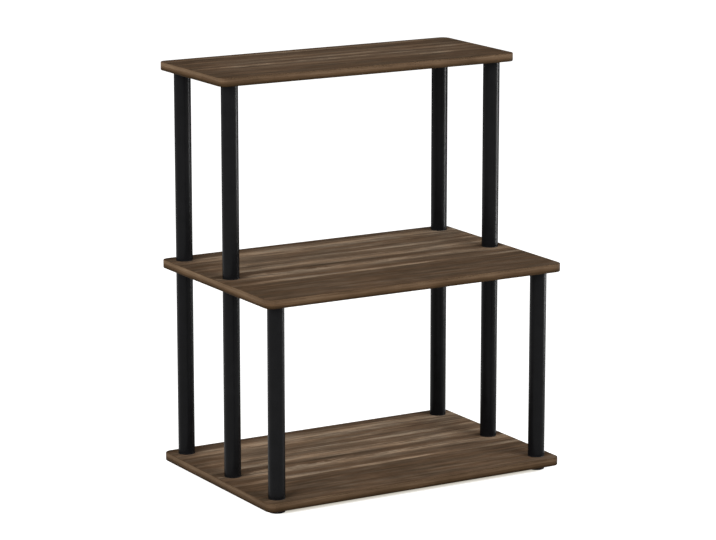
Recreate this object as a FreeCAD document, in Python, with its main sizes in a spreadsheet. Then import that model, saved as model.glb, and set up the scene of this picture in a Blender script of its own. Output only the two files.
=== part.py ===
import FreeCAD, Part
import math
import os
import Sketcher

# A free-standing shelving unit: two deep boards and a shallow top board, held apart by
# round tubes that screw together through the boards. Millimetres, +Z up, -Y is the front.
# The origin is on the floor, under the middle of the deep boards.

doc = FreeCAD.newDocument("ShelvingUnit")
sheet = doc.addObject("Spreadsheet::Sheet", "Sizes")

# Each row is a name, a size and what it measures.
DRIVING_SIZES = [
    ("board_width", 600, "all three boards, side to side"),
    ("lower_depth", 400, "bottom and middle boards, front to back"),
    ("top_depth", 240, "top board, front to back"),
    ("board_thickness", 15, "all three boards"),
    ("corner_radius", 15, "rounded corners of the boards, seen from above"),
    ("band_thickness", 2, "edge band around each board"),
    ("edge_rounding", 1.5, "rounded upper and lower edges of the band"),
    ("bay_height", 342.5, "clear height between two boards"),
    ("post_inset", 32, "tube centre from the edges of a board"),
    ("tube_diameter", 30, "outside of a tube"),
    ("tube_wall", 1.5, "wall of a tube"),
    ("tube_chamfer", 0.4, "broken outer edge at each end of a tube"),
    ("rim_thickness", 1.5, "rim of a plug, between tube and board"),
    ("plug_length", 24, "length of a plug inside its tube"),
    ("plug_clearance", 0.1, "gap between a plug and the tube's wall"),
    ("plug_wall", 1.8, "outer wall of a plug"),
    ("boss_wall", 2.2, "wall around the threaded bore of a plug"),
    ("web_thickness", 4, "floor that joins boss and outer wall of a plug"),
    ("rib_width", 1.6, "ribs between boss and outer wall of a plug"),
    ("rib_count", 4, "ribs in a plug"),
    ("thread_diameter", 12, "outside of every screw thread"),
    ("thread_clearance", 0.2, "gap between a thread and its bore, in radius"),
    ("thread_engagement", 16, "length of thread inside a plug"),
    ("neck_diameter", 10, "plain neck of a joining stud, inside the board"),
    ("lead_in", 1, "chamfer at the tips of the threads and the mouths of the bores"),
    ("bore_clearance", 0.5, "gap between a thread and its hole in a board, in radius"),
    ("peg_diameter", 18, "root of a screw peg, glued into a board from below"),
    ("peg_depth", 10, "length of that root"),
    ("peg_clearance", 0.1, "glue gap around the root, in radius and in depth"),
    ("foot_diameter", 30, "round foot"),
    ("foot_height", 9, "foot below the bottom board"),
    ("foot_rounding", 1, "rounded lower edge of a foot"),
]
for row, (alias, number, meaning) in enumerate(DRIVING_SIZES, start=1):
    sheet.set(f"A{row}", alias)
    sheet.set(f"B{row}", str(number))
    sheet.set(f"C{row}", meaning)
    sheet.setAlias(f"B{row}", alias)
doc.recompute()

# Sizes that follow from the driving ones, as expressions of the sheet.
LEVEL_PITCH = "(Sizes.bay_height + Sizes.board_thickness)"
BOTTOM_LEVEL = "Sizes.foot_height"
MIDDLE_LEVEL = f"({BOTTOM_LEVEL} + {LEVEL_PITCH})"
TOP_LEVEL = f"({MIDDLE_LEVEL} + {LEVEL_PITCH})"
TUBE_LENGTH = "(Sizes.bay_height - 2 * Sizes.rim_thickness)"
TUBE_RADIUS = "(Sizes.tube_diameter / 2)"
TUBE_BORE_RADIUS = f"({TUBE_RADIUS} - Sizes.tube_wall)"
PLUG_RADIUS = f"({TUBE_BORE_RADIUS} - Sizes.plug_clearance)"
PLUG_HEIGHT = "(Sizes.rim_thickness + Sizes.plug_length)"
THREAD_RADIUS = "(Sizes.thread_diameter / 2)"
THREAD_BORE_RADIUS = f"({THREAD_RADIUS} + Sizes.thread_clearance)"
BOSS_RADIUS = f"({THREAD_BORE_RADIUS} + Sizes.boss_wall)"
BOARD_HOLE_RADIUS = f"({THREAD_RADIUS} + Sizes.bore_clearance)"
PEG_HOLE_RADIUS = "(Sizes.peg_diameter / 2 + Sizes.peg_clearance)"
PEG_HOLE_DEPTH = "(Sizes.peg_depth + Sizes.peg_clearance)"

# The posts stand in three rows, each given by its distance from the rear edges, which are
# in line. The middle row carries the front of the shallow top board.
ROW_FROM_REAR = {
    "rear": "Sizes.post_inset",
    "middle": "(Sizes.top_depth - Sizes.post_inset)",
    "front": "(Sizes.lower_depth - Sizes.post_inset)",
}
LOWER_ROWS = ("rear", "middle", "front")
UPPER_ROWS = ("rear", "middle")
POST_X = "(Sizes.board_width / 2 - Sizes.post_inset)"
SIDE_X = {"left": f"-{POST_X}", "right": POST_X}


# Two measures closer than this are the same: a length in millimetres and a share of a volume.
SAME_PLACE = 1e-4
SAME_SHARE = 1e-6


def value(expression):
    """The number that an expression of the sheet gives now."""
    return float(sheet.evalExpression(expression))


def row_y(row, depth="Sizes.lower_depth"):
    """Where a row of posts stands, from the middle of a board of this depth."""
    return f"({depth} / 2 - {ROW_FROM_REAR[row]})"


def new_body(name, x="0", y="0", z="0", upside_down=False):
    """An empty body at its place, which the sheet moves."""
    body = doc.addObject("PartDesign::Body", name)
    body.Label = name
    if upside_down:
        body.Placement.Rotation = FreeCAD.Rotation(FreeCAD.Vector(1, 0, 0), 180)
    for axis, expression in (("x", x), ("y", y), ("z", z)):
        body.setExpression(f"Placement.Base.{axis}", expression)
    return body


def new_sketch(body, name, plane_role="XY_Plane", height=None):
    """An empty sketch on one of the body's own planes, or a height above it."""
    sketch = body.newObject("Sketcher::SketchObject", name)
    plane = next(f for f in body.Origin.OriginFeatures if f.Role == plane_role)
    sketch.AttachmentSupport = [(plane, "")]
    sketch.MapMode = "FlatFace"
    if height:
        sketch.setExpression("AttachmentOffset.Base.z", height)
    return sketch


def bind(sketch, name, expression, kind, *where):
    """A dimension of a sketch that follows the sheet."""
    index = sketch.addConstraint(Sketcher.Constraint(kind, *where, value(expression)))
    sketch.renameConstraint(index, name)
    sketch.setExpression(f"Constraints.{name}", expression)


def add_outline(sketch, points):
    """A closed outline of straight lines through points, each an (x, y) of expressions."""
    count = len(points)
    corners = [FreeCAD.Vector(value(x), value(y), 0) for x, y in points]
    for i in range(count):
        sketch.addGeometry(Part.LineSegment(corners[i], corners[(i + 1) % count]))
    for i in range(count):
        sketch.addConstraint(Sketcher.Constraint("Coincident", i, 2, (i + 1) % count, 1))
    for i, (x, y) in enumerate(points):
        for letter, kind, expression, axis in (("x", "DistanceX", x, -2), ("y", "DistanceY", y, -1)):
            if expression == "0":
                sketch.addConstraint(Sketcher.Constraint("PointOnObject", i, 1, axis))
            else:
                bind(sketch, f"{letter}{i}", expression, kind, -1, 1, i, 1)


def add_rounded_rectangle(sketch, name, width, depth, radius):
    """A rounded rectangle about the middle of the sketch, from expressions."""
    half_x, half_y, r = value(width) / 2, value(depth) / 2, value(radius)
    first = sketch.GeometryCount
    lines = (
        ((r - half_x, -half_y), (half_x - r, -half_y)),
        ((half_x, r - half_y), (half_x, half_y - r)),
        ((half_x - r, half_y), (r - half_x, half_y)),
        ((-half_x, half_y - r), (-half_x, r - half_y)),
    )
    for start, end in lines:
        sketch.addGeometry(Part.LineSegment(FreeCAD.Vector(*start, 0), FreeCAD.Vector(*end, 0)))
    quarter_turn = math.pi / 2
    corners = (
        (half_x - r, r - half_y),
        (half_x - r, half_y - r),
        (r - half_x, half_y - r),
        (r - half_x, r - half_y),
    )
    for i, centre in enumerate(corners):
        circle = Part.Circle(FreeCAD.Vector(*centre, 0), FreeCAD.Vector(0, 0, 1), r)
        start = (i - 1) * quarter_turn
        sketch.addGeometry(Part.ArcOfCircle(circle, start, start + quarter_turn))
    front, right, back, left = range(first, first + 4)
    arcs = range(first + 4, first + 8)
    for i in range(4):
        line, arc, next_line = first + i, arcs[i], first + (i + 1) % 4
        sketch.addConstraint(Sketcher.Constraint("Tangent", line, 2, arc, 1))
        sketch.addConstraint(Sketcher.Constraint("Tangent", arc, 2, next_line, 1))
    for line, kind in ((front, "Horizontal"), (back, "Horizontal"), (left, "Vertical")):
        sketch.addConstraint(Sketcher.Constraint(kind, line))
    for arc in arcs[1:]:
        sketch.addConstraint(Sketcher.Constraint("Equal", arcs[0], arc))
    bind(sketch, f"{name}_radius", radius, "Radius", arcs[0])
    bind(sketch, f"{name}_half_width", f"{width} / 2", "DistanceX", -1, 1, right, 1)
    bind(sketch, f"{name}_half_depth", f"{depth} / 2", "DistanceY", -1, 1, back, 1)
    bind(sketch, f"{name}_width", width, "DistanceX", left, 1, right, 1)
    bind(sketch, f"{name}_depth", depth, "DistanceY", front, 1, back, 1)


def add_circle(sketch, name, radius, x="0", y="0"):
    """A circle from expressions."""
    centre = FreeCAD.Vector(value(x), value(y), 0)
    index = sketch.addGeometry(Part.Circle(centre, FreeCAD.Vector(0, 0, 1), value(radius)))
    bind(sketch, f"{name}_radius", radius, "Radius", index)
    if x == "0" and y == "0":
        sketch.addConstraint(Sketcher.Constraint("Coincident", index, 3, -1, 1))
    else:
        bind(sketch, f"{name}_x", x, "DistanceX", -1, 1, index, 3)
        bind(sketch, f"{name}_y", y, "DistanceY", -1, 1, index, 3)


def pad(body, sketch, name, length):
    """Material added along +Z above a sketch."""
    feature = body.newObject("PartDesign::Pad", name)
    feature.Profile = sketch
    feature.setExpression("Length", length)
    sketch.Visibility = False
    return feature


def revolve(body, sketch, name):
    """Material turned about the body's Z axis."""
    feature = body.newObject("PartDesign::Revolution", name)
    feature.Profile = sketch
    feature.ReferenceAxis = (sketch, ["V_Axis"])
    feature.Angle = 360
    return feature


def end_face_edges(shape, *heights):
    """Names of the edges around the flat faces that lie at these heights, not of their holes."""
    names = []
    for face in shape.Faces:
        box = face.BoundBox
        if any(max(abs(box.ZMin - z), abs(box.ZMax - z)) < SAME_PLACE for z in heights):
            for number, edge in enumerate(shape.Edges, start=1):
                if any(edge.isSame(outer) for outer in face.OuterWire.Edges):
                    names.append(f"Edge{number}")
    return names


def cut_holes(body, name, radius, depth, places):
    """Round holes cut upwards from the body's underside, at (x, y) expressions."""
    doc.recompute()
    volume_before = body.Shape.Volume
    sketch = new_sketch(body, f"{name}_sketch")
    for i, (x, y) in enumerate(places):
        add_circle(sketch, f"hole{i}", radius, x, y)
    pocket = body.newObject("PartDesign::Pocket", name)
    pocket.Profile = sketch
    pocket.Reversed = True
    pocket.setExpression("Length", depth)
    doc.recompute()
    hole = Part.makeCylinder(value(radius), value(depth))
    share_cut = (volume_before - body.Shape.Volume) / (hole.Volume * len(places))
    if abs(share_cut - 1) > SAME_SHARE:
        raise ValueError(f"{body.Label}: {name} cut {share_cut:.3f} of what it should")


def make_board(name, depth, y, level, through_rows, blind_rows):
    """A board without its edge band, drilled for the threads and the screw pegs."""
    body = new_body(name, "0", y, level)
    outline = new_sketch(body, f"{name}_outline")
    add_rounded_rectangle(
        outline,
        "core",
        "(Sizes.board_width - 2 * Sizes.band_thickness)",
        f"({depth} - 2 * Sizes.band_thickness)",
        "(Sizes.corner_radius - Sizes.band_thickness)",
    )
    pad(body, outline, f"{name}_pad", "Sizes.board_thickness")

    def places(rows):
        return [(x, row_y(row, depth)) for row in rows for x in SIDE_X.values()]

    if through_rows:
        cut_holes(body, f"{name}_through_holes", BOARD_HOLE_RADIUS, "Sizes.board_thickness",
                  places(through_rows))
    if blind_rows:
        cut_holes(body, f"{name}_blind_holes", PEG_HOLE_RADIUS, PEG_HOLE_DEPTH, places(blind_rows))
    return body


def make_edge_band(name, depth, y, level):
    """The strip glued around a board, with its upper and lower edges rounded."""
    body = new_body(name, "0", y, level)
    ring = new_sketch(body, f"{name}_ring")
    add_rounded_rectangle(ring, "outer", "Sizes.board_width", depth, "Sizes.corner_radius")
    add_rounded_rectangle(
        ring,
        "inner",
        "(Sizes.board_width - 2 * Sizes.band_thickness)",
        f"({depth} - 2 * Sizes.band_thickness)",
        "(Sizes.corner_radius - Sizes.band_thickness)",
    )
    strip = pad(body, ring, f"{name}_pad", "Sizes.board_thickness")
    doc.recompute()
    rounding = body.newObject("PartDesign::Fillet", f"{name}_rounding")
    rounding.Base = (strip, end_face_edges(strip.Shape, 0, value("Sizes.board_thickness")))
    rounding.setExpression("Radius", "Sizes.edge_rounding")
    return body


def make_tube(name, x, y, z):
    """A plain round tube with its outer end edges broken."""
    body = new_body(name, x, y, z)
    ring = new_sketch(body, f"{name}_ring")
    add_circle(ring, "outer", TUBE_RADIUS)
    add_circle(ring, "inner", TUBE_BORE_RADIUS)
    wall = pad(body, ring, f"{name}_pad", TUBE_LENGTH)
    doc.recompute()
    broken = body.newObject("PartDesign::Chamfer", f"{name}_broken_edges")
    broken.Base = (wall, end_face_edges(wall.Shape, 0, value(TUBE_LENGTH)))
    broken.setExpression("Size", "Sizes.tube_chamfer")
    return body


def make_plug(name, x, y, z, upside_down):
    """A moulded plug, pressed into a tube's end. Its rim faces the board, its inner end is
    cored out around the threaded boss, and ribs join the boss to the outer wall."""
    body = new_body(name, x, y, z, upside_down)
    section = new_sketch(body, f"{name}_section", "XZ_Plane")
    channel_floor = "(Sizes.rim_thickness + Sizes.web_thickness)"
    inner_wall = f"({PLUG_RADIUS} - Sizes.plug_wall)"
    add_outline(section, [
        (f"({THREAD_BORE_RADIUS} + Sizes.lead_in)", "0"),
        (TUBE_RADIUS, "0"),
        (TUBE_RADIUS, "Sizes.rim_thickness"),
        (PLUG_RADIUS, "Sizes.rim_thickness"),
        (PLUG_RADIUS, f"({PLUG_HEIGHT} - Sizes.lead_in)"),
        (f"({PLUG_RADIUS} - Sizes.lead_in)", PLUG_HEIGHT),
        (inner_wall, PLUG_HEIGHT),
        (inner_wall, channel_floor),
        (BOSS_RADIUS, channel_floor),
        (BOSS_RADIUS, PLUG_HEIGHT),
        (THREAD_BORE_RADIUS, PLUG_HEIGHT),
        (THREAD_BORE_RADIUS, "Sizes.lead_in"),
    ])
    revolve(body, section, f"{name}_turned")
    rib_sketch = new_sketch(body, f"{name}_rib_sketch", height="Sizes.rim_thickness")
    rib_start = f"({THREAD_BORE_RADIUS} + Sizes.boss_wall / 2)"
    rib_end = f"({PLUG_RADIUS} - Sizes.plug_wall / 2)"
    add_outline(rib_sketch, [
        (rib_start, "(-Sizes.rib_width / 2)"),
        (rib_end, "(-Sizes.rib_width / 2)"),
        (rib_end, "(Sizes.rib_width / 2)"),
        (rib_start, "(Sizes.rib_width / 2)"),
    ])
    rib = pad(body, rib_sketch, f"{name}_rib", "(Sizes.plug_length - Sizes.lead_in)")
    ribs = body.newObject("PartDesign::PolarPattern", f"{name}_ribs")
    ribs.Originals = [rib]
    ribs.Axis = (rib_sketch, ["N_Axis"])
    ribs.Angle = 360
    ribs.setExpression("Occurrences", "Sizes.rib_count")
    body.Tip = ribs
    return body


def make_joining_stud(name, x, y, level):
    """A double-ended screw through the middle board, from one plug into the next. Its thread
    stops short of the board, where it has a plain neck."""
    body = new_body(name, x, y, f"({level} - Sizes.thread_engagement)")
    section = new_sketch(body, f"{name}_section", "XZ_Plane")
    neck = "(Sizes.neck_diameter / 2)"
    neck_foot = "Sizes.thread_engagement"
    neck_head = f"({neck_foot} + Sizes.board_thickness)"
    length = f"({neck_head} + Sizes.thread_engagement)"
    add_outline(section, [
        ("0", "0"),
        (f"({THREAD_RADIUS} - Sizes.lead_in)", "0"),
        (THREAD_RADIUS, "Sizes.lead_in"),
        (THREAD_RADIUS, neck_foot),
        (neck, neck_foot),
        (neck, neck_head),
        (THREAD_RADIUS, neck_head),
        (THREAD_RADIUS, f"({length} - Sizes.lead_in)"),
        (f"({THREAD_RADIUS} - Sizes.lead_in)", length),
        ("0", length),
    ])
    revolve(body, section, f"{name}_turned")
    return body


def make_screw_peg(name, x, y, level):
    """A peg glued into a blind hole under a board, with its thread pointing down."""
    body = new_body(name, x, y, f"({level} - Sizes.thread_engagement)")
    section = new_sketch(body, f"{name}_section", "XZ_Plane")
    root = "(Sizes.peg_diameter / 2)"
    board_face = "Sizes.thread_engagement"
    root_head = f"({board_face} + Sizes.peg_depth)"
    add_outline(section, [
        ("0", "0"),
        (f"({THREAD_RADIUS} - Sizes.lead_in)", "0"),
        (THREAD_RADIUS, "Sizes.lead_in"),
        (THREAD_RADIUS, board_face),
        (root, board_face),
        (root, f"({root_head} - Sizes.lead_in)"),
        (f"({root} - Sizes.lead_in)", root_head),
        ("0", root_head),
    ])
    revolve(body, section, f"{name}_turned")
    return body


def make_foot(name, x, y):
    """A round foot with a screw that passes through the bottom board into the tube above."""
    body = new_body(name, x, y, "0")
    section = new_sketch(body, f"{name}_section", "XZ_Plane")
    foot_radius = "(Sizes.foot_diameter / 2)"
    tip = "(Sizes.foot_height + Sizes.board_thickness + Sizes.thread_engagement)"
    add_outline(section, [
        ("0", "0"),
        (foot_radius, "0"),
        (foot_radius, "Sizes.foot_height"),
        (THREAD_RADIUS, "Sizes.foot_height"),
        (THREAD_RADIUS, f"({tip} - Sizes.lead_in)"),
        (f"({THREAD_RADIUS} - Sizes.lead_in)", tip),
        ("0", tip),
    ])
    turned = revolve(body, section, f"{name}_turned")
    doc.recompute()
    rounding = body.newObject("PartDesign::Fillet", f"{name}_rounding")
    rounding.Base = (turned, end_face_edges(turned.Shape, 0))
    rounding.setExpression("Radius", "Sizes.foot_rounding")
    return body


pieces = []

# The boards are flush at the rear, so the shallow top board sits back from the middle.
TOP_BOARD_Y = "((Sizes.lower_depth - Sizes.top_depth) / 2)"
for place, depth, y, level, through_rows, blind_rows in (
    ("bottom", "Sizes.lower_depth", "0", BOTTOM_LEVEL, LOWER_ROWS, ()),
    ("middle", "Sizes.lower_depth", "0", MIDDLE_LEVEL, UPPER_ROWS, ("front",)),
    ("top", "Sizes.top_depth", TOP_BOARD_Y, TOP_LEVEL, (), UPPER_ROWS),
):
    pieces.append(make_board(f"{place}_board", depth, y, level, through_rows, blind_rows))
    pieces.append(make_edge_band(f"{place}_edge_band", depth, y, level))

# The tubes, each with a plug in both ends.
for tier, level, rows in (("lower", BOTTOM_LEVEL, LOWER_ROWS), ("upper", MIDDLE_LEVEL, UPPER_ROWS)):
    bay_floor = f"({level} + Sizes.board_thickness)"
    bay_ceiling = f"({bay_floor} + Sizes.bay_height)"
    for row in rows:
        y = row_y(row)
        for side, x in SIDE_X.items():
            post = f"{tier}_{row}_{side}"
            pieces.append(make_tube(f"{post}_tube", x, y, f"({bay_floor} + Sizes.rim_thickness)"))
            pieces.append(make_plug(f"{post}_bottom_plug", x, y, bay_floor, False))
            pieces.append(make_plug(f"{post}_top_plug", x, y, bay_ceiling, True))

# What holds the tubes to the boards.
for side, x in SIDE_X.items():
    for row in UPPER_ROWS:
        pieces.append(make_joining_stud(f"joining_stud_{row}_{side}", x, row_y(row), MIDDLE_LEVEL))
        pieces.append(make_screw_peg(f"top_screw_peg_{row}_{side}", x, row_y(row), TOP_LEVEL))
    pieces.append(make_screw_peg(f"middle_screw_peg_front_{side}", x, row_y("front"), MIDDLE_LEVEL))
    for row in LOWER_ROWS:
        pieces.append(make_foot(f"foot_{row}_{side}", x, row_y(row)))

doc.recompute()
for item in doc.Objects:
    if "Invalid" in item.State or "Error" in item.State:
        raise ValueError(f"{item.Label} is {item.State}")
for piece in pieces:
    if piece.Shape.isNull() or not piece.Shape.isValid() or len(piece.Shape.Solids) != 1:
        raise ValueError(f"{piece.Label} isn't one valid solid")

os.makedirs("parts", exist_ok=True)
for piece in pieces:
    piece.Shape.exportStep(os.path.join("parts", f"{piece.Label}.step"))
print(len(pieces), "pieces written")
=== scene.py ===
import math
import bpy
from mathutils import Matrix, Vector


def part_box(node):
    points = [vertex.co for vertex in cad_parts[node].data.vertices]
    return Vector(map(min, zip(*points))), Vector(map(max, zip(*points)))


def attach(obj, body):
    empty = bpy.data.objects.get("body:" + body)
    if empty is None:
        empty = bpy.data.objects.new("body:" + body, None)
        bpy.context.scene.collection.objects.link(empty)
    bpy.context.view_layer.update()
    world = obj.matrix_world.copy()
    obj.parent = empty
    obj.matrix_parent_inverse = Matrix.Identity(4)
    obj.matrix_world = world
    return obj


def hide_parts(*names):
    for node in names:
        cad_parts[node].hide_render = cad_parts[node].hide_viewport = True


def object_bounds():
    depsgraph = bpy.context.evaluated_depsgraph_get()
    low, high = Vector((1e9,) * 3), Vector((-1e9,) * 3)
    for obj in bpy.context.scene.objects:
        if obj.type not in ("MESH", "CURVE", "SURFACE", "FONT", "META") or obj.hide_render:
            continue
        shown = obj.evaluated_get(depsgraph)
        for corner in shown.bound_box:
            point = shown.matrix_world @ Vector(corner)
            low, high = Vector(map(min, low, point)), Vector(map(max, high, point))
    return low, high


bl_info = {
    "name": "Shelving Unit",
    "version": (1, 0, 0),
    "blender": (4, 5, 0),
    "location": "View3D > Sidebar > Shelving Unit",
    "description": "Walnut boards, black tubes and screw fittings of a shelving unit",
    "category": "Object",
}

import bmesh
import bpy
from bpy.props import FloatProperty, FloatVectorProperty, IntProperty, PointerProperty
from mathutils import Matrix, Vector

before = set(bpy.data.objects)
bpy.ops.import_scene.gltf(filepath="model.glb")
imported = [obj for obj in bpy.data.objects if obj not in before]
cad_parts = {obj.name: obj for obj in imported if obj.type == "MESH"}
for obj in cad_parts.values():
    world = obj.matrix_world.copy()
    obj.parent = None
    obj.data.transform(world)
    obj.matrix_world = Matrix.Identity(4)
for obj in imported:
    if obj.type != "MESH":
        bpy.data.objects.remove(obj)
CAD_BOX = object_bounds()

MM = 0.001
BODY = "root"


def nodes_named(start="", end=""):
    """The frame's nodes whose names start and end this way, in order."""
    return sorted(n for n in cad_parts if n.startswith(start) and n.endswith(end))


BOARDS = nodes_named(end="_board")
EDGE_BANDS = nodes_named(end="_edge_band")
TUBES = nodes_named(end="_tube")
PLUGS = nodes_named(end="_plug")
JOINING_STUDS = nodes_named(start="joining_stud_")
SCREW_PEGS = sorted(nodes_named(start="top_screw_peg_") + nodes_named(start="middle_screw_peg_"))
FEET = nodes_named(start="foot_")


def shade(red, green, blue):
    """A colour as a screen shows it, each part from 0 to 255, in Blender's linear values."""
    def linear(part):
        share = part / 255
        return share / 12.92 if share <= 0.04045 else ((share + 0.055) / 1.055) ** 2.4
    return tuple(linear(part) for part in (red, green, blue))


def colour_setting(name, description, default):
    """A colour that the sidebar shows."""
    return FloatVectorProperty(name=name, description=description, default=default,
                               subtype="COLOR", size=3, min=0, max=1)


def length_setting(name, description, default):
    """A length in metres that the sidebar shows."""
    return FloatProperty(name=name, description=description, default=default,
                         subtype="DISTANCE", unit="LENGTH", min=0, precision=5)


def share_setting(name, description, default):
    """A share from 0 to 1 that the sidebar shows."""
    return FloatProperty(name=name, description=description, default=default,
                         subtype="FACTOR", min=0, max=1)


class WalnutSettings(bpy.types.PropertyGroup):
    """The printed walnut of the boards and their edge bands"""

    dark: colour_setting("Dark", "The darkest heartwood streaks", shade(65, 52, 39))
    brown: colour_setting("Brown", "The plain brown between the streaks", shade(88, 71, 56))
    tan: colour_setting("Tan", "The light bands", shade(114, 96, 78))
    pale: colour_setting("Pale", "The palest flecks", shade(153, 133, 112))
    particles: colour_setting("Particles", "The raw core inside the drilled holes",
                              shade(176, 144, 104))
    contrast: share_setting("Contrast", "How strongly the fine grain shows", 0.75)
    roughness: share_setting("Roughness", "Roughness of the satin laminate", 0.5)
    emboss: length_setting("Emboss", "Depth of the pores pressed into the laminate", 0.08 * MM)


class PlasticSettings(bpy.types.PropertyGroup):
    """The black plastics"""

    tube: colour_setting("Tube", "The extruded tubes", shade(14, 14, 15))
    fitting: colour_setting("Fitting", "The moulded plugs, studs, pegs and feet", shade(17, 17, 18))
    tube_roughness: share_setting("Tube Roughness", "Roughness of the tubes", 0.30)
    fitting_roughness: share_setting("Fitting Roughness", "Roughness of the mouldings", 0.5)


class FittingSettings(bpy.types.PropertyGroup):
    """The screw threads and the moulded feet"""

    pitch: length_setting("Pitch", "Rise of the thread in one turn", 3 * MM)
    thread_depth: length_setting("Thread Depth", "Height of the thread over its root", 1 * MM)
    thread_gap: length_setting("Thread Gap", "Gap between a screw and its bore, in radius",
                               0.2 * MM)
    plain_mouth: length_setting("Plain Mouth", "Bore left plain at each end of its thread",
                                0.4 * MM)
    turn_steps: IntProperty(name="Steps", description="Steps in one turn of a thread",
                            default=36, min=12, max=96)
    edge_break: length_setting("Edge Break", "Small chamfer on the mouldings' edges", 0.3 * MM)
    peg_tip: length_setting("Peg Tip", "Chamfer at the glued end of a screw peg", 1 * MM)
    foot_rounding: length_setting("Foot Rounding", "Rounded lower edge of a foot", 1 * MM)
    foot_rim: length_setting("Foot Rim", "Width of the ring that a foot stands on", 3 * MM)
    foot_recess: length_setting("Foot Recess", "Depth of the recess inside that ring", 0.6 * MM)


class StudioSettings(bpy.types.PropertyGroup):
    """The camera, the lamps and the floor"""

    camera_place: FloatVectorProperty(
        name="Camera", description="Where the camera stands, from the middle of the floor",
        default=(-2.785, -4.716, 1.565), subtype="TRANSLATION", unit="LENGTH")
    camera_heading: FloatProperty(
        name="Heading", description="How far the camera turns from facing the unit square-on",
        default=-0.5324, subtype="ANGLE", unit="ROTATION")
    camera_tilt: FloatProperty(
        name="Tilt", description="How far the camera looks down",
        default=0.2157, subtype="ANGLE", unit="ROTATION")
    lens: FloatProperty(name="Lens", description="Focal length in millimetres on a 36 mm sensor",
                        default=157.7, subtype="DISTANCE_CAMERA", min=1)
    key_power: FloatProperty(name="Key", description="Power of the high lamp at the front left",
                             default=140, subtype="POWER", unit="POWER", min=0)
    fill_power: FloatProperty(name="Fill", description="Power of the lamp at the front right",
                              default=105, subtype="POWER", unit="POWER", min=0)
    rim_power: FloatProperty(name="Rim", description="Power of the tall lamp at the right",
                             default=44, subtype="POWER", unit="POWER", min=0)
    surround: FloatProperty(name="Surround", description="Strength of the light from all sides",
                            default=0.20, min=0)
    floor: colour_setting("Floor", "The pale floor", (0.50, 0.50, 0.495))
    floor_glow: FloatProperty(
        name="Floor Glow", description="Brightness that the floor near the unit adds for the eye",
        default=0.53, min=0)


class NodeMaker:
    """Adds nodes to one node tree and joins them up. An input is given as another node's
    output or as a plain value."""

    def __init__(self, tree):
        self.tree = tree

    def add(self, kind, inputs=(), **settings):
        node = self.tree.nodes.new(kind)
        for name, setting in settings.items():
            setattr(node, name, setting)
        for key, source in dict(inputs).items():
            if isinstance(source, bpy.types.NodeSocket):
                self.tree.links.new(source, node.inputs[key])
            else:
                node.inputs[key].default_value = source
        return node

    def math(self, operation, *parts, clamp=False):
        node = self.add("ShaderNodeMath", enumerate(parts), operation=operation, use_clamp=clamp)
        return node.outputs[0]

    def vector(self, operation, *parts):
        node = self.add("ShaderNodeVectorMath", enumerate(parts), operation=operation)
        return node.outputs["Value" if operation in ("DOT_PRODUCT", "LENGTH") else "Vector"]

    def parts_of(self, vector):
        return self.add("ShaderNodeSeparateXYZ", {0: vector}).outputs[:3]

    def point(self, x=0.0, y=0.0, z=0.0):
        return self.add("ShaderNodeCombineXYZ", {0: x, 1: y, 2: z}).outputs[0]

    def blend(self, factor, first, second):
        """One number turning into another."""
        node = self.add("ShaderNodeMix", {0: factor, 2: first, 3: second}, data_type="FLOAT")
        return node.outputs[0]

    def blend_colour(self, factor, first, second, mode="MIX"):
        """One colour turning into another. A plain colour has four parts."""
        node = self.add("ShaderNodeMix", {0: factor, 6: first, 7: second},
                        data_type="RGBA", blend_type=mode)
        return node.outputs[2]

    def tinted(self, colour, lift):
        """A colour made this much lighter or darker."""
        return self.blend_colour(1.0, colour, (lift, lift, lift, 1), "MULTIPLY")

    def rise(self, number, start, end):
        """Goes smoothly from 0 to 1 as a number goes from start to end."""
        node = self.add("ShaderNodeMapRange", {0: number, 1: start, 2: end},
                        interpolation_type="SMOOTHSTEP")
        return node.outputs[0]

    def ramp(self, number, stops, interpolation="EASE"):
        """A colour ramp through stops, each a place and a colour or a grey."""
        node = self.add("ShaderNodeValToRGB", {0: number})
        ramp = node.color_ramp
        ramp.interpolation = interpolation
        while len(ramp.elements) < len(stops):
            ramp.elements.new(1.0)
        for element, (place, look) in zip(ramp.elements, stops):
            element.position = place
            element.color = (*look, 1) if hasattr(look, "__len__") else (look, look, look, 1)
        return node.outputs[0]

    def grain(self, place, length, width, detail=2.0, layer=0.0):
        """Noise from 0 to 1 whose marks are about this long and this wide, in metres. Each
        layer has a pattern of its own."""
        drawn_out = self.vector("MULTIPLY_ADD", place, (1 / length, 1 / width, 0), (0, 0, layer))
        node = self.add("ShaderNodeTexNoise", {"Vector": drawn_out, "Scale": 1.0,
                                               "Detail": detail, "Roughness": 0.55})
        return node.outputs[0]

    def swing(self, noise, reach):
        """Noise from 0 to 1 turned into a number that swings this far either way."""
        return self.math("MULTIPLY_ADD", noise, 2 * reach, -reach)


def new_material(name):
    """A material and the maker of its nodes, its shader already joined to its output."""
    material = bpy.data.materials.new(name)
    material.use_nodes = True
    maker = NodeMaker(material.node_tree)
    material.node_tree.nodes.clear()
    shader = maker.add("ShaderNodeBsdfPrincipled")
    output = maker.add("ShaderNodeOutputMaterial")
    maker.tree.links.new(shader.outputs[0], output.inputs["Surface"])
    return material, maker, shader


def dress(maker, shader, colour, roughness, relief, depth, strength, gloss):
    """Joins a colour, a roughness and a relief to a shader. The relief is this deep and shows
    this strongly."""
    bump = maker.add("ShaderNodeBump", {"Strength": strength, "Distance": depth,
                                        "Height": relief})
    for key, result in (("Base Color", colour), ("Roughness", roughness),
                        ("Normal", bump.outputs[0])):
        maker.tree.links.new(result, shader.inputs[key])
    shader.inputs["Specular IOR Level"].default_value = gloss


def give(node_name, material):
    """Puts a material on a node of the frame."""
    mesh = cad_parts[node_name].data
    mesh.materials.clear()
    mesh.materials.append(material)


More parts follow.
